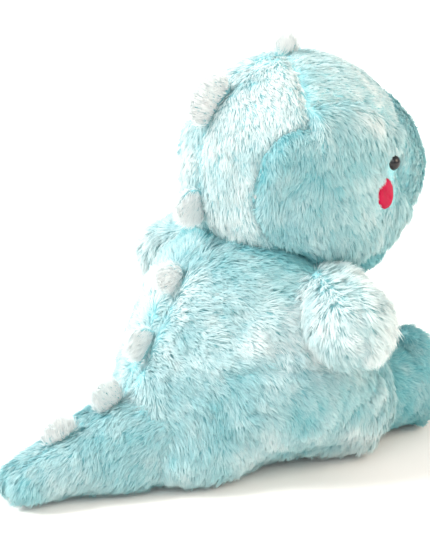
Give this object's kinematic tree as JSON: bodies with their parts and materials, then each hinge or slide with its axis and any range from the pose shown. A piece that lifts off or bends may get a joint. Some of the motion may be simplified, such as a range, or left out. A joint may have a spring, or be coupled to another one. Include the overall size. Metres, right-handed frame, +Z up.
{
  "type": "stuffed dinosaur",
  "caption": "Seated plush dinosaur with a big rounded head, stub arms, paddle feet, a long tapering tail and soft spikes down its spine.",
  "frame": {"origin": "middle of the flat seat, on the surface the toy sits on", "axes": "+Z up, the face looks along -Y, the tail points along +Y, the toy's own left is +X"},
  "size_m": [0.3708, 0.479, 0.4131],
  "materials": {
    "body_fur": "long soft frosted plush pile",
    "pale_fur": "smooth brushed plush pile",
    "sole_fur": "short dense plush pile",
    "spike_fur": "soft plush pile",
    "stuffing": "loose polyester fibre",
    "pouch_cloth": "plain woven cloth",
    "pellets": "matt plastic beads",
    "label_ribbon": "blank satin ribbon",
    "seam_thread": "twisted sewing thread",
    "eye_plastic": "polished black",
    "washer_plastic": "moulded",
    "cheek_thread": "satin-stitch embroidery",
    "face_thread": "satin-stitch embroidery"
  },
  "bodies": {
    "torso": {"back_panel_left": "body_fur", "back_panel_right": "body_fur", "belly_panel": "body_fur", "seat_panel": "body_fur", "torso_filling": "stuffing", "pellet_pouch": "pouch_cloth", "pellets": "pellets", "closing_stitches": "seam_thread", "care_label": "label_ribbon", "spike_upper_back": "spike_fur", "spike_lower_back": "spike_fur"},
    "neck": {"neck_filling": "stuffing"},
    "head": {"head_back_panel_left": "body_fur", "head_back_panel_right": "body_fur", "forehead_panel": "pale_fur", "cheek_panel_left": "body_fur", "cheek_panel_right": "body_fur", "muzzle_panel": "body_fur", "chin_panel": "body_fur", "head_filling": "stuffing", "eye_left": "eye_plastic", "eye_right": "eye_plastic", "eye_washer_left": "washer_plastic", "eye_washer_right": "washer_plastic", "cheek_patch_left": "cheek_thread", "cheek_patch_right": "cheek_thread", "nostril_stitches": "face_thread", "mouth_stitches": "face_thread", "spike_crown": "spike_fur", "spike_back_of_head": "spike_fur", "spike_nape": "spike_fur"},
    "arm_left": {"arm_front_panel_left": "body_fur", "arm_back_panel_left": "body_fur", "arm_filling_left": "stuffing"},
    "arm_right": {"arm_front_panel_right": "body_fur", "arm_back_panel_right": "body_fur", "arm_filling_right": "stuffing"},
    "leg_left": {"leg_panel_left": "body_fur", "sole_panel_left": "sole_fur", "leg_filling_left": "stuffing"},
    "leg_right": {"leg_panel_right": "body_fur", "sole_panel_right": "sole_fur", "leg_filling_right": "stuffing"},
    "tail": {"tail_panel_left": "body_fur", "tail_panel_right": "body_fur", "tail_underside_panel": "body_fur", "tail_filling": "stuffing", "spike_tail_root": "spike_fur", "spike_tail_middle": "spike_fur"}
  },
  "joints": [
    {"name": "head_turn", "type": "hinge", "parent": "torso", "child": "neck", "pos_m": [0, 0.029, 0.16], "axis": [0, -0.342, 0.9397], "range_deg": [-30, 30], "stiffness_Nm_per_rad": 3},
    {"name": "head_nod", "type": "hinge", "parent": "neck", "child": "head", "pos_m": [0, 0.029, 0.16], "axis": [1, 0, 0], "range_deg": [-10, 10], "stiffness_Nm_per_rad": 8},
    {"name": "arm_raise_left", "type": "hinge", "parent": "torso", "child": "arm_left", "pos_m": [0.11387, 0.02809, 0.20401], "axis": [0.257, -0.9664, 0], "range_deg": [0, 35], "stiffness_Nm_per_rad": 0.8},
    {"name": "arm_raise_right", "type": "hinge", "parent": "torso", "child": "arm_right", "pos_m": [-0.11387, 0.02809, 0.20401], "axis": [0.257, 0.9664, 0], "range_deg": [0, 35], "stiffness_Nm_per_rad": 0.8},
    {"name": "leg_lift_left", "type": "hinge", "parent": "torso", "child": "leg_left", "pos_m": [0.062, -0.07, 0.09], "axis": [-1, 0, 0], "range_deg": [0, 15], "stiffness_Nm_per_rad": 1},
    {"name": "leg_lift_right", "type": "hinge", "parent": "torso", "child": "leg_right", "pos_m": [-0.062, -0.07, 0.09], "axis": [-1, 0, 0], "range_deg": [0, 15], "stiffness_Nm_per_rad": 1},
    {"name": "tail_swing", "type": "hinge", "parent": "torso", "child": "tail", "pos_m": [0, 0.172, 0.042], "axis": [0, 0, 1], "range_deg": [-12, 12], "stiffness_Nm_per_rad": 1.2}
  ]
}
